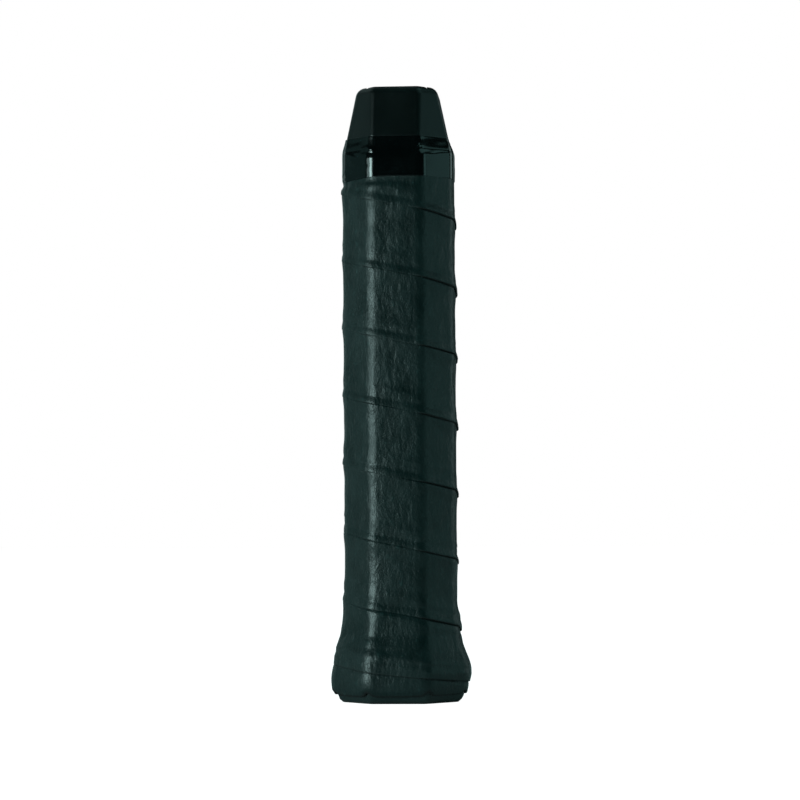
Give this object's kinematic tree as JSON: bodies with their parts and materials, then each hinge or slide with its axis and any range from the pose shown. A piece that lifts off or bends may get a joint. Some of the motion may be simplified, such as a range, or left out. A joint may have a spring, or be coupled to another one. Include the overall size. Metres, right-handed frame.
{
  "type": "racket handle grip",
  "caption": "Octagonal tennis racket handle wound with grip tape, held by a glossy finishing band at the top, with a flared butt cap and snap-in trap door.",
  "frame": {"origin": "middle of the butt cap's rim plane, the face that the handle stands on", "axes": "+Z along the handle to its tapered top end; X across the wider faces; -Y is the front face"},
  "size_m": [0.0427, 0.0393, 0.187],
  "materials": {
    "grip_polyurethane": "fine-grained satin polyurethane grip tape, dark green-black",
    "finishing_vinyl": "glossy black self-adhesive vinyl",
    "pallet_polymer": "satin moulded polymer, near black",
    "carbon_laminate": "raw carbon laminate",
    "plug_polymer": "satin moulded polymer, near black",
    "cap_nylon": "satin moulded nylon, near black",
    "badge_vinyl": "blank glossy vinyl disc",
    "staple_steel": "bright wire"
  },
  "bodies": {
    "handle": {"grip_tape": "grip_polyurethane", "finishing_tape": "finishing_vinyl", "pallet_front": "pallet_polymer", "pallet_rear": "pallet_polymer", "shaft_left": "carbon_laminate", "shaft_right": "carbon_laminate", "shaft_end_plug": "plug_polymer", "butt_cap": "cap_nylon", "staple_front_left": "staple_steel", "staple_front_right": "staple_steel", "staple_rear_left": "staple_steel", "staple_rear_right": "staple_steel"},
    "door": {"trap_door": "cap_nylon", "badge": "badge_vinyl"}
  },
  "joints": [
    {"name": "door_pull", "type": "slide", "parent": "handle", "child": "door", "axis": [0, 0, -1], "range_m": [0, 0.012]}
  ]
}
